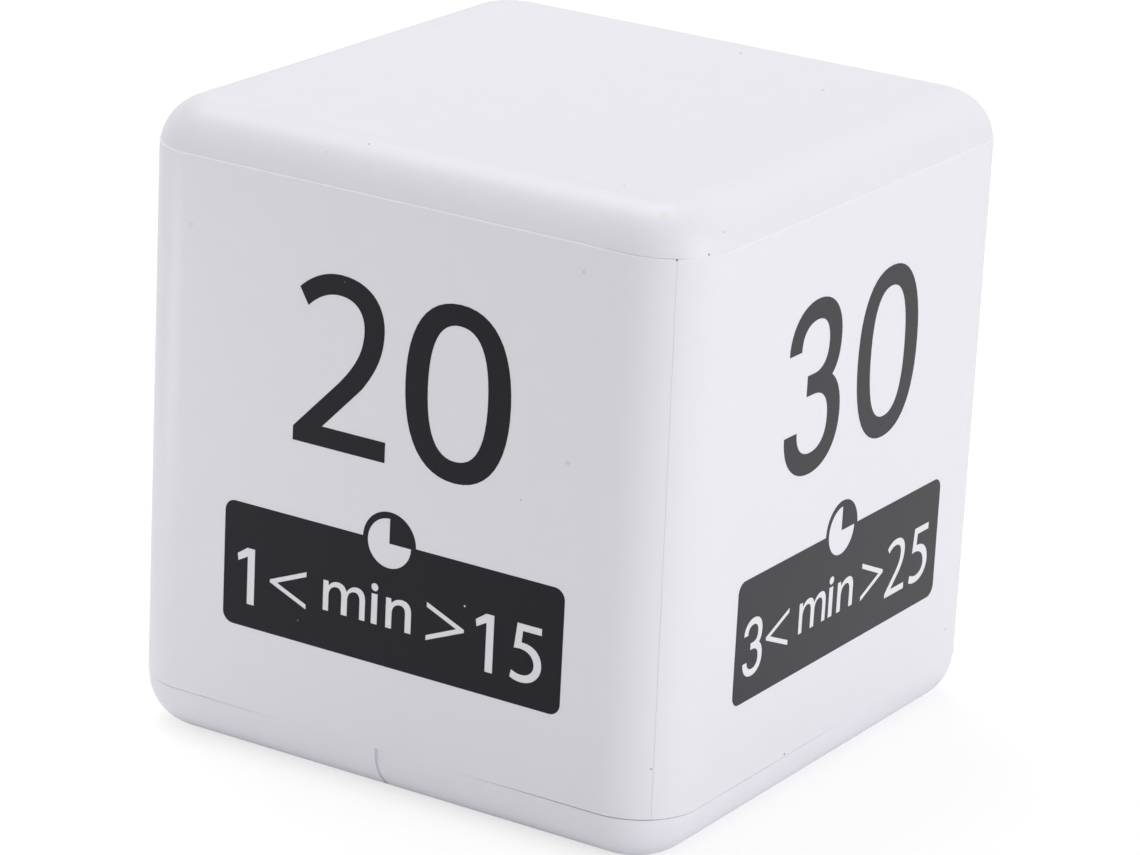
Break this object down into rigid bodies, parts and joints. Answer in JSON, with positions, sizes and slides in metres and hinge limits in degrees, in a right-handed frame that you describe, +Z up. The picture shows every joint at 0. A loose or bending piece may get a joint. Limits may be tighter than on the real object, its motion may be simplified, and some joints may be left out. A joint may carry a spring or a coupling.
{
  "type": "cube timer",
  "caption": "Rounded-cube timer with a printed wrap label, a blank top, a sliding battery door and a recessed switch in its base; it is set by turning the wanted number up.",
  "frame": {"origin": "centre of the footprint on the resting face", "axes": "+Z up through the blank top face, -Y out of the face numbered 20, +X out of the face numbered 30"},
  "size_m": [0.062, 0.062, 0.0635],
  "materials": {
    "shell_white": "fine satin moulded white plastic",
    "label_vinyl": "satin printed vinyl sheet",
    "cell_jacket": "plain dark cell jacket",
    "screw_steel": "zinc plated",
    "contact_steel": "nickel plated sheet and wire",
    "bright_steel": "bright nickel",
    "board_green": "solder mask",
    "sounder_brass": "thin sheet",
    "sounder_ceramic": "fired ceramic with silver face",
    "foam_black": "foam tape",
    "wire_red": "wire insulation",
    "wire_black": "wire insulation",
    "ferrite": "dull ferrite",
    "black_plastic": "black plastic, epoxy and print"
  },
  "bodies": {
    "case": {"battery_cell_left": "cell_jacket", "battery_cell_right": "cell_jacket", "board_screw_1": "screw_steel", "board_screw_2": "screw_steel", "board_screw_3": "screw_steel", "case_screw_front": "screw_steel", "case_screw_rear": "screw_steel", "chip_resistor_1": "black_plastic", "chip_resistor_2": "black_plastic", "chip_resistor_3": "black_plastic", "circuit_board": "board_green", "contact_plate_link": "contact_steel", "contact_plate_negative": "contact_steel", "contact_plate_positive": "contact_steel", "crystal_can": "bright_steel", "driver_coil": "ferrite", "driver_transistor": "black_plastic", "filter_capacitor": "black_plastic", "lead_negative": "wire_black", "lead_positive": "wire_red", "lead_sounder_1": "wire_red", "lead_sounder_2": "wire_black", "lower_shell": "shell_white", "piezo_ceramic": "sounder_ceramic", "piezo_disc": "sounder_brass", "piezo_ring": "foam_black", "spring_link": "contact_steel", "spring_negative": "contact_steel", "switch_base": "black_plastic", "switch_case": "bright_steel", "tilt_can_1": "bright_steel", "tilt_can_2": "bright_steel", "tilt_can_3": "bright_steel", "tilt_can_4": "bright_steel", "tilt_plug_1": "black_plastic", "tilt_plug_2": "black_plastic", "tilt_plug_3": "black_plastic", "tilt_plug_4": "black_plastic", "timer_chip": "black_plastic", "upper_shell": "shell_white", "wrap_label": "label_vinyl"},
    "door": {"battery_door": "shell_white"},
    "switch": {"switch_slider": "black_plastic", "switch_wiper": "sounder_brass"},
    "ball_1": {"tilt_ball_1": "bright_steel"},
    "ball_2": {"tilt_ball_2": "bright_steel"},
    "ball_3": {"tilt_ball_3": "bright_steel"},
    "ball_4": {"tilt_ball_4": "bright_steel"}
  },
  "joints": [
    {"name": "door_slide", "type": "slide", "parent": "case", "child": "door", "axis": [-1, 0, 0], "range_m": [0, 0.034]},
    {"name": "switch_slide", "type": "slide", "parent": "case", "child": "switch", "axis": [0, 1, 0], "range_m": [0, 0.002]},
    {"name": "ball_1_roll", "type": "slide", "parent": "case", "child": "ball_1", "axis": [1, 0, 0], "range_m": [-0.0013, 0.0013]},
    {"name": "ball_2_roll", "type": "slide", "parent": "case", "child": "ball_2", "axis": [-1, 0, 0], "range_m": [-0.0013, 0.0013]},
    {"name": "ball_3_roll", "type": "slide", "parent": "case", "child": "ball_3", "axis": [0, 1, 0], "range_m": [-0.0013, 0.0013]},
    {"name": "ball_4_roll", "type": "slide", "parent": "case", "child": "ball_4", "axis": [0, -1, 0], "range_m": [-0.0013, 0.0013]}
  ]
}
